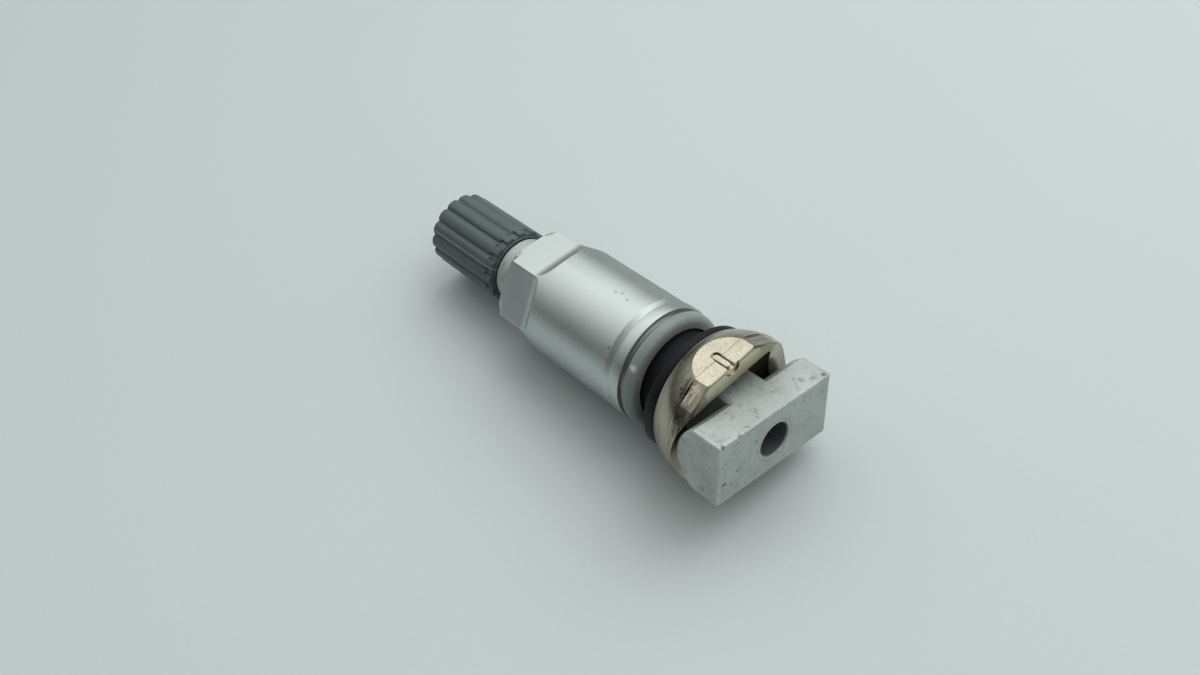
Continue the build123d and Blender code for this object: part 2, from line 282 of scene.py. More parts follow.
mark_colour = (0.13, 0.14, 0.135)
mark_strength = 0.85
dent_spots = (
    ((0.0, -7.2, 5.98), (0.5, 0.32, 0.32)),
    ((0.0, -8.02, 0.27), (0.5, 0.36, 0.40)),
    ((-0.5, 8.9, 2.4), (0.4, 0.4, 0.4)),
)
hole_ring_colour = (0.27, 0.29, 0.28)
hole_ring_strength = 0.5
# Painted shade inside the deep tapped hole
painted_hole_shade = (0.17, 0.19, 0.19)


def with_parts(faces):
    """Faces with their edges and vertices, each once and always in the same order."""
    return faces + list(dict.fromkeys(part for face in faces for part in (*face.edges, *face.verts)))


def back_strips(bm):
    """The long faces of the tee's round back."""
    bm.normal_update()
    least_area = tee_edge * neck_width
    return [face for face in bm.faces if face.normal.x < back_facing and face.calc_area() > least_area]


def fill(bm, station, facing):
    """Closes the open rims at a station with a flat face that looks along X or against it."""
    edges = rim(bm, station)
    bmesh.ops.triangle_fill(bm, edges=edges, use_beauty=True, use_dissolve=False, normal=(facing, 0, 0))


hole = thread(-hole_depth, -hole_lead_in, hole_radius + hole_thread_depth, hole_radius, hole_pitch)
tube(
    hole,
    rim(hole, -hole_lead_in),
    (-hole_lead_in + hole_runout, hole_radius),
    (hole_radius - hole_mouth, hole_radius),
    (0, hole_mouth),
)
tube(
    hole,
    rim(hole, -hole_depth),
    (-hole_depth - hole_point, passage_radius),
    (shank_start, passage_radius),
)
corners = [(0, -tee_height / 2), (0, tee_height / 2)]
for step in range(back_steps + 1):
    turn = back_half * (1 - 2 * step / back_steps)
    corners.append((back_radius - tee_depth - back_radius * cos(turn), back_radius * sin(turn)))
tee = bmesh.new()
near_end = tee.faces.new([tee.verts.new((x, -tee_length / 2, z)) for x, z in corners])
far_end = bmesh.ops.extrude_face_region(tee, geom=[near_end])["geom"]
far_verts = picked(far_end, bmesh.types.BMVert)
bmesh.ops.translate(tee, verts=far_verts, vec=(0, tee_length + tee_far_extra, 0))
bmesh.ops.recalc_face_normals(tee, faces=tee.faces)
for size, at_far_end in ((tee_far_round, True), (tee_edge, False)):
    creases = [edge for edge in tee.edges if edge.calc_face_angle(0) > tee_crease]
    bmesh.ops.bevel(
        tee,
        geom=[edge for edge in creases if (min(vert.co.y for vert in edge.verts) > 0) == at_far_end],
        offset=size,
        segments=tee_edge_steps,
        profile=0.5,
        affect="EDGES",
        material=-1,
        clamp_overlap=False,
    )
front_faces = [face for face in tee.faces if face.normal.x > front_facing]
front = max(front_faces, key=lambda face: face.calc_area())
bmesh.ops.delete(tee, geom=[front], context="FACES_ONLY")
for neck_side in (-neck_width / 2, neck_width / 2):
    strips = with_parts(back_strips(tee))
    bmesh.ops.bisect_plane(tee, geom=strips, plane_co=(0, neck_side, 0), plane_no=(0, 1, 0))
neck_faces = [face for face in back_strips(tee) if abs(face.calc_center_median().y) < neck_width / 2]
neck = bmesh.ops.extrude_face_region(tee, geom=with_parts(neck_faces))["geom"]
for vert in picked(neck, bmesh.types.BMVert):
    vert.co.x = shank_start
bmesh.ops.delete(tee, geom=picked(neck, bmesh.types.BMFace), context="FACES")
for vert in tee.verts:
    on_neck_side = abs(abs(vert.co.y) - neck_width / 2) < merge_gap
    if on_neck_side and off_axis(vert) > shank_radius:
        vert.co.y *= (shank_radius**2 - vert.co.z**2) ** 0.5 / abs(vert.co.y)
join(tee, hole)
bmesh.ops.remove_doubles(tee, verts=tee.verts, dist=merge_gap)
fill(tee, 0, facing=1)
fill(tee, shank_start, facing=-1)
bmesh.ops.rotate(tee, verts=tee.verts, cent=(0, 0, 0), matrix=Matrix.Rotation(tee_roll, 3, "X"))
stem_tee = finish_piece("stem_tee", tee, "stem", ["valve_stem"], sharp_degrees=22)


def node(tree, kind, inputs=None, **settings):
    """Adds a shader node; an input given as a socket is linked, any other is set."""
    made = tree.nodes.new(kind)
    for key, value in settings.items():
        setattr(made, key, value)
    for key, value in (inputs or {}).items():
        if isinstance(value, bpy.types.NodeSocket):
            tree.links.new(value, made.inputs[key])
        else:
            made.inputs[key].default_value = value
    return made


def value_math(tree, operation, *values):
    """What an operation makes of one or two values."""
    return node(tree, "ShaderNodeMath", dict(enumerate(values)), operation=operation).outputs["Value"]


def vector_math(tree, operation, *vectors):
    """What an operation makes of one or two vectors; a length or a dot product is a value."""
    made = node(tree, "ShaderNodeVectorMath", dict(enumerate(vectors)), operation=operation)
    return made.outputs["Value" if operation in ("LENGTH", "DOT_PRODUCT") else "Vector"]


def parts_of(tree, vector):
    """The X, Y and Z of a vector."""
    return node(tree, "ShaderNodeSeparateXYZ", {"Vector": vector}).outputs


def axis_distance(tree, coords):
    """How far a point of the surface is from the stem's axis."""
    return vector_math(tree, "LENGTH", vector_math(tree, "MULTIPLY", coords, (0.0, 1.0, 1.0)))


def noise(tree, vector, scale, detail):
    """The outputs of a noise texture, Fac and Color."""
    return node(tree, "ShaderNodeTexNoise", {"Vector": vector, "Scale": scale, "Detail": detail}).outputs


def effect(name, inputs):
    """A shader node group with named inputs and one value out, and the sockets at its two ends."""
    tree = bpy.data.node_groups.new(name, "ShaderNodeTree")
    for socket, value in inputs.items():
        kind = "NodeSocketFloat" if isinstance(value, float) else "NodeSocketVector"
        made = tree.interface.new_socket(socket, in_out="INPUT", socket_type=kind)
        if value is not None:
            made.default_value = value
    tree.interface.new_socket("Value", in_out="OUTPUT", socket_type="NodeSocketFloat")
    return tree, tree.nodes.new("NodeGroupInput").outputs, tree.nodes.new("NodeGroupOutput").inputs["Value"]


def place(tree, group, **inputs):
    """Puts an effect into a material with its own values, and returns its value."""
    return node(tree, "ShaderNodeGroup", inputs, node_tree=group).outputs["Value"]


def ramp(tree, value, *stops):
    """A colour ramp over a value, from (position, colour) stops."""
    made = node(tree, "ShaderNodeValToRGB", {"Fac": value})
    while len(made.color_ramp.elements) < len(stops):
        made.color_ramp.elements.new(1.0)
    for element, (position, colour) in zip(made.color_ramp.elements, stops):
        element.position = position
        element.color = (*colour, 1)
    return made.outputs["Color"]


def blend(tree, value, span, colours):
    """A colour that runs from one to another as a value crosses a span."""
    return ramp(tree, value, *zip(span, colours))


def remap(tree, value, low, high, new_low, new_high):
    """Carries a value from one range to another, and holds it within the new one."""
    limits = {"Value": value, "From Min": low, "From Max": high, "To Min": new_low, "To Max": new_high}
    return node(tree, "ShaderNodeMapRange", limits).outputs["Result"]


def fade(tree, mask, strength):
    """A mask that reaches no more than a strength."""
    return remap(tree, mask, 0.0, 1.0, 0.0, strength)


def overlay(tree, mask, under, over):
    """A colour over another where the mask is 1; the sockets of a colour mix are 0, 6 and 7."""
    made = node(tree, "ShaderNodeMix", data_type="RGBA")
    for socket, value in zip((made.inputs[0], made.inputs[6], made.inputs[7]), (mask, under, over)):
        if isinstance(value, bpy.types.NodeSocket):
            tree.links.new(value, socket)
        else:
            socket.default_value = (*value, 1)
    return made.outputs[2]


def bump(tree, shader, height, strength, depth):
    """Gives a shader a surface that rises by up to depth metres."""
    made = node(tree, "ShaderNodeBump", {"Height": height, "Strength": strength, "Distance": depth})
    tree.links.new(made.outputs["Normal"], shader.inputs["Normal"])


def look(name, pieces, metallic):
    """A material given to the pieces; returns its node tree, its shader and the object's coordinates."""
    material = bpy.data.materials.new(name)
    material.use_nodes = True
    tree = material.node_tree
    shader = tree.nodes["Principled BSDF"]
    shader.inputs["Metallic"].default_value = metallic
    for piece in pieces:
        piece.data.materials.clear()
        piece.data.materials.append(material)
    return tree, shader, node(tree, "ShaderNodeTexCoord").outputs["Object"]


# Nearly all of a noise texture lies within the wide span, and most of it within the narrow one
wide_span = (0.3, 0.7)
narrow_span = (0.35, 0.65)


def paint(tree, shader, colour, texture, roughness):
    """Gives a shader its colour, and a roughness that runs between two values over a texture."""
    tree.links.new(colour, shader.inputs["Base Color"])
    tree.links.new(remap(tree, texture, *wide_span, *roughness), shader.inputs["Roughness"])


# Uneven tone: soft clouds and a finer grain, about a middle of 0.5
grain_share = 0.45
uneven_tone, given, result = effect("uneven_tone", {"Vector": None, "Clouds": 300.0, "Grain": 4000.0})
clouds = noise(uneven_tone, given["Vector"], given["Clouds"], detail=5.0)["Fac"]
grain = noise(uneven_tone, given["Vector"], given["Grain"], detail=2.0)["Fac"]
both = node(uneven_tone, "ShaderNodeMix", {"Factor": grain_share, "A": clouds, "B": grain})
uneven_tone.links.new(both.outputs["Result"], result)

# Specks: scattered spots of uneven outline; Share is the part of the cells that hold one
speck_wander = (0.4 * mm,) * 3
specks, given, result = effect("specks", {"Vector": None, "Scale": 400.0, "Size": 0.2, "Share": 0.2})
wander = noise(specks, given["Vector"], scale=2500.0, detail=2.0)["Color"]
moved = vector_math(specks, "ADD", given["Vector"], vector_math(specks, "MULTIPLY", wander, speck_wander))
cells = node(specks, "ShaderNodeTexVoronoi", {"Vector": moved, "Scale": given["Scale"]}).outputs
draw = node(specks, "ShaderNodeSeparateColor", {"Color": cells["Color"]}).outputs
chosen = value_math(specks, "LESS_THAN", draw["Red"], given["Share"])
reach = value_math(specks, "MULTIPLY", draw["Green"], given["Size"])
near = remap(specks, cells["Distance"], reach, 0.0, 0.0, 1.0)
specks.links.new(value_math(specks, "MULTIPLY", near, chosen), result)

# Fine lines: marks of a tool, drawn out along the directions in which Stretch is small
fine_lines, given, result = effect("fine_lines", {"Vector": None, "Stretch": None, "Scale": 6000.0})
drawn = vector_math(fine_lines, "MULTIPLY", given["Vector"], given["Stretch"])
fine_lines.links.new(noise(fine_lines, drawn, given["Scale"], detail=4.0)["Fac"], result)

# Bruise: one spot of uneven outline at a Centre, with its own Reach along each direction
noise_middle = (0.5,) * 3
bruise_wander = (1.6,) * 3
bruise_core = 0.5
bruise, given, result = effect("bruise", {"Vector": None, "Centre": None, "Reach": None})
away = vector_math(bruise, "SUBTRACT", given["Vector"], given["Centre"])
scaled = vector_math(bruise, "DIVIDE", away, given["Reach"])
wander = noise(bruise, given["Vector"], scale=3200.0, detail=3.0)["Color"]
ragged = vector_math(bruise, "SUBTRACT", wander, noise_middle)
uneven = vector_math(bruise, "MULTIPLY", ragged, bruise_wander)
length = vector_math(bruise, "LENGTH", vector_math(bruise, "ADD", scaled, uneven))
bruise.links.new(remap(bruise, length, 1.0, bruise_core, 0.0, 1.0), result)


def bruises(tree, coords, spots):
    """The bruises of a material together, from (centre, reach) pairs in mm."""
    mask = 0.0
    for centre, reach in spots:
        one = place(tree, bruise, Vector=coords, Centre=Vector(centre) * mm, Reach=Vector(reach) * mm)
        mask = value_math(tree, "MAXIMUM", mask, one)
    return mask


tree, shader, coords = look("blasted_aluminium", [stem_shank, stem_tee], metallic=0.75)
tone = place(tree, uneven_tone, Vector=coords, Clouds=260.0, Grain=5200.0)
pits = place(tree, specks, Vector=coords, Scale=900.0, Size=0.35, Share=0.22)
smudge = place(tree, uneven_tone, Vector=coords, Clouds=620.0, Grain=2400.0)
shade = blend(tree, tone, narrow_span, blasted_colours)
stained = overlay(tree, remap(tree, smudge, *stain_span, 0.0, stain_strength), shade, stain_colour)
# A point is near an edge of the tee where the middle one of its distances from three faces is small
level = node(tree, "ShaderNodeVectorRotate", {"Vector": coords, "Angle": -tee_roll}, rotation_type="X_AXIS")
mirrored = vector_math(tree, "ABSOLUTE", level.outputs["Vector"])
inward = vector_math(tree, "SUBTRACT", mirrored, (0.0, tee_length / 2, tee_height / 2))
gap = parts_of(tree, vector_math(tree, "ABSOLUTE", inward))
least = value_math(tree, "MINIMUM", gap["X"], gap["Y"])
most = value_math(tree, "MAXIMUM", gap["X"], gap["Y"])
from_edge = value_math(tree, "MAXIMUM", least, value_math(tree, "MINIMUM", most, gap["Z"]))
ragged_edge = remap(tree, smudge, *worn_span, 0.0, worn_width)
near_edge = value_math(tree, "LESS_THAN", from_edge, ragged_edge)
worn = overlay(tree, fade(tree, near_edge, worn_strength), stained, worn_colour)
scuffs = bruises(tree, coords, scuff_spots)
scuffed = overlay(tree, fade(tree, scuffs, scuff_strength), worn, scuff_colour)
marks = value_math(tree, "MAXIMUM", bruises(tree, coords, dent_spots), pits)
marked = overlay(tree, fade(tree, marks, mark_strength), scuffed, mark_colour)
distance = axis_distance(tree, coords)
ring_gap = value_math(tree, "ABSOLUTE", value_math(tree, "SUBTRACT", distance, hole_ring))
on_ring = remap(tree, ring_gap, hole_ring_fade, hole_ring_half, 0.0, hole_ring_strength)
ringed = overlay(tree, on_ring, marked, hole_ring_colour)
# painted shade on the wall of the tapped hole
in_hole = remap(tree, distance, hole_mouth, hole_radius, 0.0, 1.0)
paint(tree, shader, overlay(tree, in_hole, ringed, painted_hole_shade), tone, blasted_roughness)
bump(tree, shader, tone, strength=0.25, depth=0.03 * mm)


# Valve core: the small turned brass plug and barrel that screw into the stem's tip, sealed by a moulded
# ring. A sprung pin through them carries the cup and rubber ring that close the air passage.
spring_low, spring_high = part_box("core_spring")
wire_radius = 0.14 * mm
wire_sides = 10
coil_radius = spring_high.z - wire_radius
coil_turns = 5
coil_steps = 32
coil_rise = spring_high.x - spring_low.x - 2 * wire_radius
brass_colours = ((0.50, 0.36, 0.13), (0.68, 0.52, 0.24))
brass_roughness = (0.24, 0.38)
gasket_colours = ((0.48, 0.03, 0.02), (0.60, 0.05, 0.03))
gasket_roughness = (0.40, 0.52)
seal_colours = ((0.010, 0.010, 0.011), (0.020, 0.020, 0.022))
seal_roughness = (0.55, 0.75)
spring_colours = ((0.38, 0.39, 0.40), (0.52, 0.53, 0.54))
spring_roughness = (0.25, 0.40)
core_metal = [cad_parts[name] for name in ("core_plug", "core_barrel", "core_pin", "core_cup")]
tree, shader, coords = look("core_brass", core_metal, metallic=1.0)
lines = place(tree, fine_lines, Vector=coords, Stretch=(1.0, 0.05, 0.05), Scale=9000.0)
paint(tree, shader, blend(tree, lines, wide_span, brass_colours), lines, brass_roughness)

tree, shader, coords = look("core_gasket", [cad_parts["core_gasket"]], metallic=0.0)
tone = place(tree, uneven_tone, Vector=coords, Clouds=900.0, Grain=9000.0)
paint(tree, shader, blend(tree, tone, wide_span, gasket_colours), tone, gasket_roughness)

seals = [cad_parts[name] for name in ("core_seat_seal", "cap_seal")]
tree, shader, coords = look("seal_rubber", seals, metallic=0.0)
tone = place(tree, uneven_tone, Vector=coords, Clouds=700.0, Grain=9000.0)
paint(tree, shader, blend(tree, tone, wide_span, seal_colours), tone, seal_roughness)

coil = bmesh.new()
across_wire = Matrix.Rotation(pi / 2, 4, "X")
bmesh.ops.create_circle(coil, cap_ends=True, segments=wire_sides, radius=wire_radius, matrix=across_wire)
bmesh.ops.translate(coil, verts=coil.verts, vec=(spring_low.x + wire_radius, 0, coil_radius))
bmesh.ops.spin(
    coil,
    geom=everything(coil),
    axis=stem_axis,
    dvec=(coil_rise / coil_turns / coil_steps, 0, 0),
    angle=tau * coil_turns,
    steps=coil_steps * coil_turns,
)
spring = finish_piece("spring_coil", coil, "stem", ["core_spring"])
tree, shader, coords = look("spring_steel", [spring], metallic=1.0)
lines = place(tree, fine_lines, Vector=coords, Stretch=(1.0, 0.3, 0.3), Scale=12000.0)
paint(tree, shader, blend(tree, lines, wide_span, spring_colours), lines, spring_roughness)
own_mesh(spring)


# Ball saddle: a nickel-plated die casting that the tee's round back rocks in. Its flats are ground,
# and the curved faces keep the darker, brushed plating.
flat_facing = (0.95, 0.985)
strip_ends = (4.4 * mm, 4.1 * mm)
# Painted shade: the front strip darkens from its top down towards the tee, where shade falls
strip_rise = (6.2 * mm, 8.0 * mm)
strip_painted_shade_colours = ((0.27, 0.245, 0.18), (0.72, 0.66, 0.50))
plating_colours = ((0.31, 0.285, 0.22), (0.42, 0.39, 0.315))
plating_roughness = (0.14, 0.30)
brushed_colour = (0.15, 0.13, 0.10)
brushed_span = (0.52, 0.70)
brushed_strength = 0.7
# Painted shade: dark patches where the near side's cast step and the rear edge next to the flange fall in
# shade
painted_shade_colour = (0.06, 0.054, 0.044)
painted_shade_spots = (
    ((-7.3, -4.9, 7.9), (1.1, 1.7, 1.5)),
    ((-6.8, -6.8, 6.4), (0.9, 1.4, 1.7)),
    ((-6.4, -8.3, 4.4), (0.7, 1.2, 1.5)),
    ((-10.6, 0.2, 8.3), (0.7, 4.5, 0.7)),
)
streak_span = (0.40, 0.56)
streak_limits = (0.45, 1.0)
ground_colours = ((0.36, 0.33, 0.255), (0.56, 0.52, 0.415))
ground_span = (0.72, 1.26)
# Painted highlight: bright patches on the near side's ground facet, where its stepped faces catch the light
painted_highlight_colour = (0.60, 0.555, 0.43)
painted_highlight_strength = 0.85
painted_highlight_spots = (
    ((-6.4, -4.45, 8.15), (0.75, 0.8, 0.6)),
    ((-6.2, -5.3, 7.6), (0.2, 1.1, 0.8)),
    ((-6.9, -5.5, 7.5), (0.15, 1.2, 0.9)),
)


def between(tree, value, span, colours):
    """The same for a span that lies outside the colour ramp's own 0 to 1."""
    return blend(tree, remap(tree, value, *span, 0.0, 1.0), (0.0, 1.0), colours)


tree, shader, coords = look("plated_nickel", [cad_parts["saddle"]], metallic=1.0)
lines = place(tree, fine_lines, Vector=coords, Stretch=(1.0, 0.06, 0.06), Scale=3500.0)
tone = place(tree, uneven_tone, Vector=coords, Clouds=350.0, Grain=3000.0)
facing = parts_of(tree, node(tree, "ShaderNodeTexCoord").outputs["Normal"])
where = parts_of(tree, coords)
plating = blend(tree, tone, narrow_span, plating_colours)
in_brush = remap(tree, lines, *brushed_span, 0.0, brushed_strength)
brushed = overlay(tree, in_brush, plating, brushed_colour)
streaks = remap(tree, lines, *streak_span, *streak_limits)
# painted shade by the cast step and the rear edge, broken up by the brush streaks
painted_shade = value_math(tree, "MULTIPLY", bruises(tree, coords, painted_shade_spots), streaks)
shaded = overlay(tree, painted_shade, brushed, painted_shade_colour)
# painted highlight on the near side's ground facet
painted_highlights = bruises(tree, coords, painted_highlight_spots)
with_painted_light = overlay(tree, fade(tree, painted_highlights, painted_highlight_strength), shaded, painted_highlight_colour)
strokes = place(tree, fine_lines, Vector=coords, Stretch=(0.35, 1.0, 1.0), Scale=6500.0)
blotch = place(tree, uneven_tone, Vector=coords, Clouds=230.0, Grain=1500.0)
ground = between(tree, value_math(tree, "ADD", strokes, blotch), ground_span, ground_colours)
flats = overlay(tree, remap(tree, facing["Z"], *flat_facing, 0.0, 1.0), with_painted_light, ground)
faced = remap(tree, facing["X"], *flat_facing, 0.0, 1.0)
within = remap(tree, value_math(tree, "ABSOLUTE", where["Y"]), *strip_ends, 0.0, 1.0)
front_strip = value_math(tree, "MULTIPLY", faced, within)
# painted shade on the front strip, darker towards its lower edge next to the tee
strip_painted_shade = between(tree, where["Z"], strip_rise, strip_painted_shade_colours)
paint(tree, shader, overlay(tree, front_strip, flats, strip_painted_shade), lines, plating_roughness)
bump(tree, shader, lines, strength=0.2, depth=0.02 * mm)


# Grommet: moulded black rubber, a flange against the saddle and a sleeve that fills the wheel's
# valve hole. It is pushed over the shank, and the nut squeezes it against the rim.
grommet_low, grommet_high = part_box("grommet")
flange_radius = grommet_high.z
flange_back = grommet_high.x - 1.25 * mm
flange_edge = 0.35 * mm
flange_squeeze = 0.23 * mm
flange_slant = 0.45 * mm
flange_thick_side = radians(220)
sleeve_radius = 5.72 * mm
sleeve_root = 0.15 * mm
sleeve_chamfer = 0.4 * mm
grommet_bore = 5.03 * mm
turning_steps = 192
corner_steps = 4
rubber_colours = ((0.0025, 0.0028, 0.005), (0.006, 0.0065, 0.011))
rubber_roughness = (0.42, 0.56)
rubber_specular = 0.22


def turned(outline, steps, closed=True):
    """A new bmesh spun round X from an outline of (X, radius, corner round) points."""
    bm = bmesh.new()
    line = [bm.verts.new((x, 0, radius)) for x, radius, _ in outline]
    for pair in zip(line, line[1:] + line[:1] if closed else line[1:]):
        bm.edges.new(pair)
    for size in sorted({corner for _, _, corner in outline if corner}):
        bmesh.ops.bevel(
            bm,
            geom=[vert for vert, (_, _, corner) in zip(line, outline) if corner == size],
            offset=size,
            offset_type="OFFSET",
            segments=corner_steps,
            profile=0.5,
            affect="VERTICES",
            material=-1,
        )
    bmesh.ops.spin(bm, geom=everything(bm), axis=stem_axis, angle=tau, steps=steps, use_merge=True)
    return bm


def turn_of(vert):
    """A vertex's angle round the stem's axis, from Y towards Z."""
    return atan2(vert.co.z, vert.co.y)


grommet = turned(
    [
        (grommet_high.x, grommet_bore, 0),
        (grommet_high.x, flange_radius, flange_edge),
        (flange_back, flange_radius, flange_edge),
        (flange_back, sleeve_radius, sleeve_root),
        (grommet_low.x, sleeve_radius, sleeve_chamfer),
        (grommet_low.x, grommet_bore, 0),
    ],
    turning_steps,
)
for vert in grommet.verts:
    if vert.co.x < flange_back + flange_edge and off_axis(vert) > sleeve_radius + flange_edge:
        vert.co.x -= flange_squeeze + flange_slant * cos(turn_of(vert) - flange_thick_side)
grommet_rubber = finish_piece("grommet_rubber", grommet, "stem", ["grommet"])
tree, shader, coords = look("grommet_rubber", [grommet_rubber], metallic=0.0)
tone = place(tree, uneven_tone, Vector=coords, Clouds=500.0, Grain=7000.0)
paint(tree, shader, blend(tree, tone, narrow_span, rubber_colours), tone, rubber_roughness)
shader.inputs["Specular IOR Level"].default_value = rubber_specular
bump(tree, shader, tone, strength=0.15, depth=0.03 * mm)


# Washer: a pale moulded ring between the nut's lip and the wheel, loose on the grommet's sleeve.
# It lets the nut turn without dragging on the rim.
washer_low, washer_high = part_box("nut_washer")
washer_radius = washer_high.z
washer_hole = 5.85 * mm
washer_edge = 0.12 * mm
washer_round = 0.9 * mm
washer_back = washer_low.x + 0.36 * mm
washer_step_radius = 6.85 * mm
washer_colours = ((0.175, 0.205, 0.192), (0.228, 0.262, 0.245))
washer_roughness = (0.30, 0.42)
# Painted reflection: a tan ring round the hole stands for the gold saddle mirrored in the washer
saddle_reflection_reach = (washer_hole + 0.6 * mm, washer_hole + 0.1 * mm)
saddle_reflection_strength = 0.8
painted_saddle_reflection = (0.30, 0.27, 0.21)
chip_spots = (((-16.15, -5.23, 5.22), (0.60, 0.46, 0.44)),)
chip_colour = (0.48, 0.53, 0.51)
washer = turned(
    [
        (washer_high.x, washer_hole, washer_edge),
        (washer_high.x, washer_radius, washer_round),
        (washer_back, washer_radius, washer_edge),
        (washer_back, washer_step_radius, 0),
        (washer_low.x, washer_step_radius, 0),
        (washer_low.x, washer_hole, washer_edge),
    ],
    turning_steps,
)
washer_ring = finish_piece("washer_ring", washer, "washer", ["nut_washer"])
tree, shader, coords = look("washer_plastic", [washer_ring], metallic=0.0)
tone = place(tree, uneven_tone, Vector=coords, Clouds=400.0, Grain=4000.0)
shade = blend(tree, tone, narrow_span, washer_colours)
# painted reflection of the saddle, in a ring round the hole
near_hole = remap(tree, axis_distance(tree, coords), *saddle_reflection_reach, 0.0, saddle_reflection_strength)
with_painted_light = overlay(tree, near_hole, shade, painted_saddle_reflection)
chipped = overlay(tree, bruises(tree, coords, chip_spots), with_painted_light, chip_colour)
paint(tree, shader, chipped, tone, washer_roughness)


# Sleeve nut: turned from aluminium bar with a lip and a groove at its front, and six flats milled at its
# far end, each with a rounded run-out. It screws along the shank and clamps the wheel's rim.
lip_back = nut_high.x - 1.8 * mm
lip_radius = 7.6 * mm
groove_back = lip_back - 0.96 * mm
groove_radius = 7.15 * mm
groove_floor = 0.12 * mm
nut_collar = 6.9 * mm
nut_collar_back = nut_high.x - 0.22 * mm
nut_edge = 0.1 * mm
nut_fine_edge = 0.05 * mm
barrel_radius = 7.5 * mm
runout_start = groove_back - 13.6 * mm
cutter_radius = 2.6 * mm
cutter_limit = 0.99 * cutter_radius
hex_half = pi / 6
hex_apothem = 6.47 * mm
hex_turn = radians(85.5)
hex_chamfer = 0.7 * mm
hex_round = 0.12 * mm
hex_front = runout_start + 2 * hex_round
hex_rings = 90
hex_edge_length = 2 * mm
counterbore_radius = 6.17 * mm
counterbore_end = nut_high.x - 3.2 * mm
nut_bore = 5.06 * mm
nut_mouth = 0.5 * mm
nut_steps = 240
flat_depth = barrel_radius - hex_apothem
flats_start = runout_start - (2 * cutter_radius * flat_depth - flat_depth**2) ** 0.5
nut_colours = ((0.50, 0.54, 0.525), (0.57, 0.61, 0.595))
nut_roughness = (0.34, 0.44)
nut_edge_tint = (0.6, 0.62, 0.61, 1)
nick_colour = (0.30, 0.325, 0.315)
nick_spots = (
    ((-22.64, 0.5, 7.48), (0.26, 0.22, 0.3)),
    ((-24.65, 0.6, 7.47), (0.22, 0.16, 0.3)),
    ((-23.9, 0.9, 7.45), (0.16, 0.3, 0.3)),
    ((-20.4, -5.0, 5.59), (0.2, 0.35, 0.35)),
)


def across_sector(vert, turn, half):
    """A vertex's angle from the middle of its sector; one sector lies round turn, half to each side."""
    return (turn_of(vert) - turn + half) % (2 * half) - half


nut = turned(
    [
        (nut_high.x, counterbore_radius, nut_edge),
        (nut_high.x, nut_collar, 0),
        (nut_collar_back, nut_collar, 0),
        (nut_collar_back, lip_radius, nut_edge),
        (lip_back, lip_radius, nut_edge),
        (lip_back, groove_radius, 0),
        (lip_back - groove_floor, groove_radius, 0),
        (groove_back, barrel_radius, nut_fine_edge),
        (runout_start + hex_round, barrel_radius, 0),
        (nut_low.x + hex_chamfer, barrel_radius, nut_fine_edge),
        (nut_low.x, barrel_radius - hex_chamfer, nut_edge),
        (nut_low.x, nut_bore + nut_mouth, nut_fine_edge),
        (nut_low.x + nut_mouth, nut_bore, 0),
        (counterbore_end, nut_bore, 0),
        (counterbore_end, counterbore_radius, 0),
    ],
    nut_steps,
)
hex_edges = [
    edge
    for edge in nut.edges
    if abs(edge.verts[0].co.x - edge.verts[1].co.x) > hex_edge_length
    and max(vert.co.x for vert in edge.verts) < hex_front
    and off_axis(edge.verts[0]) > hex_apothem
]
bmesh.ops.subdivide_edges(nut, edges=hex_edges, cuts=hex_rings)
# The flats are cut to their depth, and the shared amount rounds the edge where one meets the barrel
for vert in nut.verts:
    radius = off_axis(vert)
    if vert.co.x > hex_front or radius < hex_apothem - hex_chamfer / 2:
        continue
    run = min(max(0, vert.co.x - flats_start), cutter_limit)
    rise = cutter_radius - (cutter_radius**2 - run**2) ** 0.5
    flat = (hex_apothem + rise) / cos(across_sector(vert, hex_turn, hex_half))
    shared = max(hex_round - abs(radius - flat), 0) / hex_round
    draw_to(vert, min(radius, flat) - shared * shared * hex_round / 4)
sleeve_nut = finish_piece("sleeve_nut", nut, "nut", ["collar_nut"])
tree, shader, coords = look("turned_aluminium", [sleeve_nut], metallic=1.0)
lines = place(tree, fine_lines, Vector=coords, Stretch=(1.0, 0.02, 0.02), Scale=5000.0)
tone = place(tree, uneven_tone, Vector=coords, Clouds=200.0, Grain=3000.0)
pits = place(tree, specks, Vector=coords, Scale=220.0, Size=0.07, Share=0.12)
shade = blend(tree, tone, narrow_span, nut_colours)
flaws = value_math(tree, "MAXIMUM", bruises(tree, coords, nick_spots), pits)
paint(tree, shader, overlay(tree, flaws, shade, nick_colour), tone, nut_roughness)
shader.inputs["Specular Tint"].default_value = nut_edge_tint
bump(tree, shader, lines, strength=0.04, depth=0.02 * mm)


# Cap: moulded grey plastic with rounded grip ribs, a notch at the open end of each groove and a plain ring.
# It screws on the stem's tip, and a rubber disc inside it seals on the tip's end.
rib_count = 15
rib_half = pi / rib_count
rib_crest = 5.05 * mm
rib_depth = 0.45 * mm
rib_flatness = 3.0
rib_turn = radians(20.2)
rib_end_round = 0.22 * mm
rib_steps = 16
cap_ring_radius = 4.5 * mm
cap_ring_back = cap_high.x - 0.3 * mm
cap_edge = 0.06 * mm
cap_bore = 3.92 * mm
cap_mouth = 0.12 * mm
cap_thread_end = cap_high.x - cap_mouth
cap_thread_depth = 0.3 * mm
cap_thread_root = cap_bore + cap_thread_depth
cap_mouth_radius = cap_thread_root + 0.02 * mm
cap_floor = cap_low.x + 1.7 * mm
notch_start = cap_ring_back - 1.2 * mm
notch_half = radians(6.6)
notch_floor = 4.68 * mm
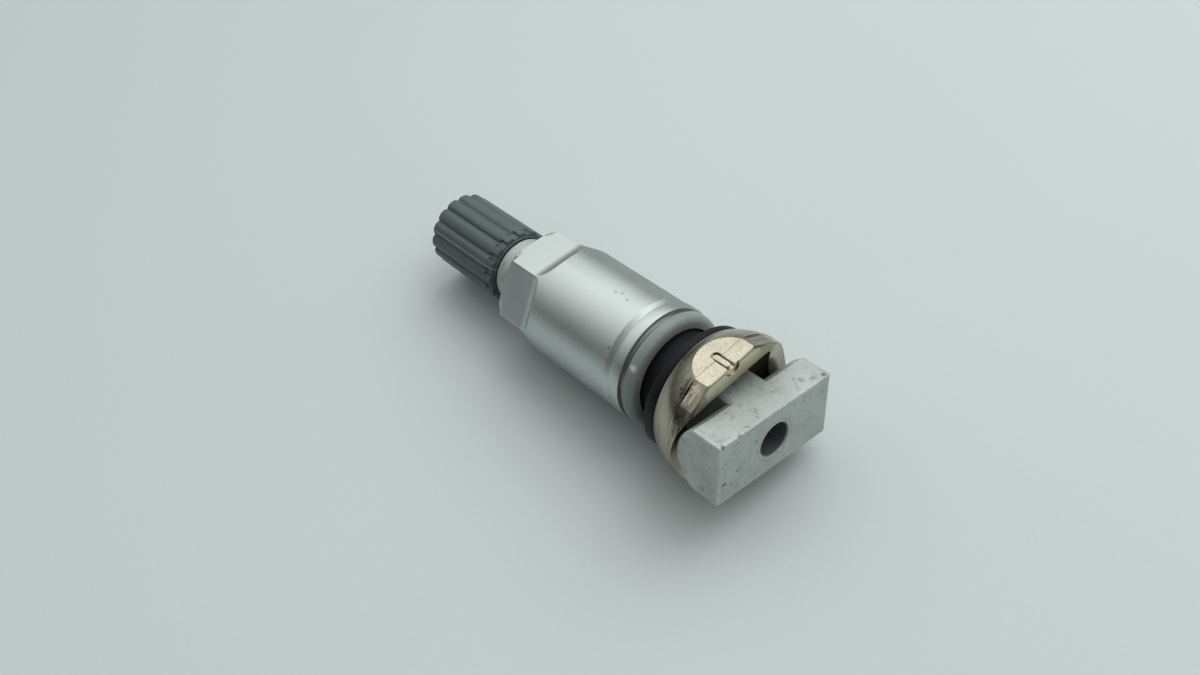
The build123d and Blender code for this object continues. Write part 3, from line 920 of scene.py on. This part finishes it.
# Seam: a painted highlight along one rib's edge, at the mould's parting line
seam_turn = radians(143.7)
seam_across = (0.0, sin(seam_turn), -cos(seam_turn))
seam_fade = (0.11 * mm, 0.04 * mm)
seam_highlight_strength = 0.8
seam_start = (cap_low.x + 0.1 * mm, cap_low.x + rib_end_round)
seam_highlight_colour = (0.26, 0.31, 0.29)
cap_colours = ((0.058, 0.081, 0.080), (0.080, 0.109, 0.107))
cap_roughness = (0.42, 0.56)
cap = turned(
    [
        (cap_low.x, rib_crest - rib_depth - rib_end_round, 0),
        (cap_low.x, rib_crest, rib_end_round),
        (notch_start - cap_edge, rib_crest, 0),
        (notch_start, rib_crest, 0),
        (cap_ring_back, rib_crest, cap_edge),
        (cap_ring_back, cap_ring_radius, 0),
        (cap_high.x, cap_ring_radius, cap_edge),
        (cap_high.x, cap_mouth_radius + cap_mouth, 0),
        (cap_thread_end, cap_mouth_radius, 0),
    ],
    rib_count * rib_steps,
    closed=False,
)
for vert in cap.verts:
    radius = off_axis(vert)
    if radius < cap_ring_radius + cap_edge:
        continue
    across = abs(across_sector(vert, rib_turn, rib_half))
    cut = radius - rib_depth * (across / rib_half) ** rib_flatness
    if vert.co.x > notch_start - cap_edge / 2 and rib_half - across < notch_half:
        cut = min(cut, notch_floor)
    draw_to(vert, cut)
bmesh.ops.holes_fill(cap, edges=rim(cap, cap_low.x), sides=0)
cap_thread = thread(cap_floor, cap_thread_end, cap_thread_root, cap_bore, tip_pitch)
bmesh.ops.holes_fill(cap_thread, edges=rim(cap_thread, cap_floor), sides=0)
join(cap, cap_thread)
fill(cap, cap_thread_end, facing=1)
cap_shell = finish_piece("cap_shell", cap, "cap", ["valve_cap"], sharp_degrees=40)
tree, shader, coords = look("cap_plastic", [cap_shell], metallic=0.0)
tone = place(tree, uneven_tone, Vector=coords, Clouds=450.0, Grain=5000.0)
shade = blend(tree, tone, narrow_span, cap_colours)
where = parts_of(tree, coords)
# painted highlight along the parting line on the near side, fading out at the closed end
seam_gap = value_math(tree, "ABSOLUTE", vector_math(tree, "DOT_PRODUCT", coords, seam_across))
near_seam = remap(tree, seam_gap, *seam_fade, 0.0, seam_highlight_strength)
beside = value_math(tree, "LESS_THAN", where["Y"], 0.0)
off_end = remap(tree, where["X"], *seam_start, 0.0, 1.0)
one_side = value_math(tree, "MULTIPLY", beside, off_end)
seam_highlight = value_math(tree, "MULTIPLY", near_seam, one_side)
paint(tree, shader, overlay(tree, seam_highlight, shade, seam_highlight_colour), tone, cap_roughness)
bump(tree, shader, tone, strength=0.15, depth=0.03 * mm)


# Floor: a plain pale sheet of paper, wide enough to pass out of every view. The saddle's rear edge
# and the nut's far end rest on it, so it slopes a little against the stem.
floor_point = Vector((-9.70, 0, -8.75)) * mm
floor_end = Vector((-33.86, 0, -7.50)) * mm
floor_slope = atan2(floor_point.z - floor_end.z, floor_point.x - floor_end.x)
floor_size = 2.0
floor_colours = ((0.51, 0.557, 0.552), (0.53, 0.577, 0.571))
floor_roughness = 0.9
sheet = bmesh.new()
bmesh.ops.create_grid(sheet, x_segments=1, y_segments=1, size=floor_size)
floor = in_scene("floor", mesh_from("floor", sheet))
floor.matrix_world = Matrix.Translation(floor_point) @ Matrix.Rotation(-floor_slope, 4, "Y")
tree, shader, coords = look("floor_paper", [floor], metallic=0.0)
tone = place(tree, uneven_tone, Vector=coords, Clouds=12.0, Grain=1500.0)
tree.links.new(blend(tree, tone, wide_span, floor_colours), shader.inputs["Base Color"])
shader.inputs["Roughness"].default_value = floor_roughness


# Light: white walls and ceiling that darken towards the horizon, are brighter on the window's side and
# have a dark stand on the other, and one large soft lamp on the window's side.
sky_stops = (
    (0.0, (0.06, 0.065, 0.065)),
    (0.2, (0.17, 0.18, 0.18)),
    (0.45, (0.53, 0.56, 0.555)),
    (0.7, (1.02, 1.06, 1.05)),
    (0.85, (1.18, 1.22, 1.21)),
    (1.0, (0.83, 0.86, 0.855)),
)
window_side = (-0.09, 0.99, 0.0)
window_light = (0.38, 1.86)
stand_side = (0.23, -0.63, 0.74)
stand_edge = (0.70, 0.94)
stand_light = (1.0, 0.35)
lamp_size = 0.30
lamp_power = 0.36
lamp_place = Vector((0.02, 0.18, 0.24))
lamp_target = Vector((-0.025, 0, 0))
world = bpy.data.worlds.new("studio")
bpy.context.scene.world = world
world.use_nodes = True
tree = world.node_tree
background = tree.nodes["Background"]
direction = node(tree, "ShaderNodeTexCoord").outputs["Generated"]
sky = ramp(tree, parts_of(tree, direction)["Z"], *sky_stops)
window = remap(tree, vector_math(tree, "DOT_PRODUCT", direction, window_side), -1.0, 1.0, *window_light)
stand = remap(tree, vector_math(tree, "DOT_PRODUCT", direction, stand_side), *stand_edge, *stand_light)
tree.links.new(sky, background.inputs["Color"])
tree.links.new(value_math(tree, "MULTIPLY", window, stand), background.inputs["Strength"])
lamp = bpy.data.lights.new("soft_lamp", "AREA")
lamp.shape = "DISK"
lamp.size = lamp_size
lamp.energy = lamp_power
lamp_object = in_scene("soft_lamp", lamp)
lamp_object.location = lamp_place
lamp_object.visible_glossy = False
lamp_object.rotation_euler = (lamp_target - lamp_place).to_track_quat("-Z", "Y").to_euler()


# Camera: above the tee's end, looking down along the stem, at the photograph's viewing angle.
# Its place, turn and lens are in metres, degrees and millimetres.
camera_place = (0.066288, -0.058065, 0.115207)
camera_turn = (42.2837, 10.7604, 47.2943)
camera_lens = 39.04
camera_sensor = 36.0
camera_nearest = 0.005
camera_data = bpy.data.cameras.new("camera")
camera_data.sensor_width = camera_sensor
camera_data.lens = camera_lens
camera_data.clip_start = camera_nearest
camera = in_scene("camera", camera_data)
camera.location = camera_place
camera.rotation_euler = Euler([radians(angle) for angle in camera_turn])
bpy.context.scene.camera = camera
bpy.context.scene.view_settings.view_transform = "Standard"
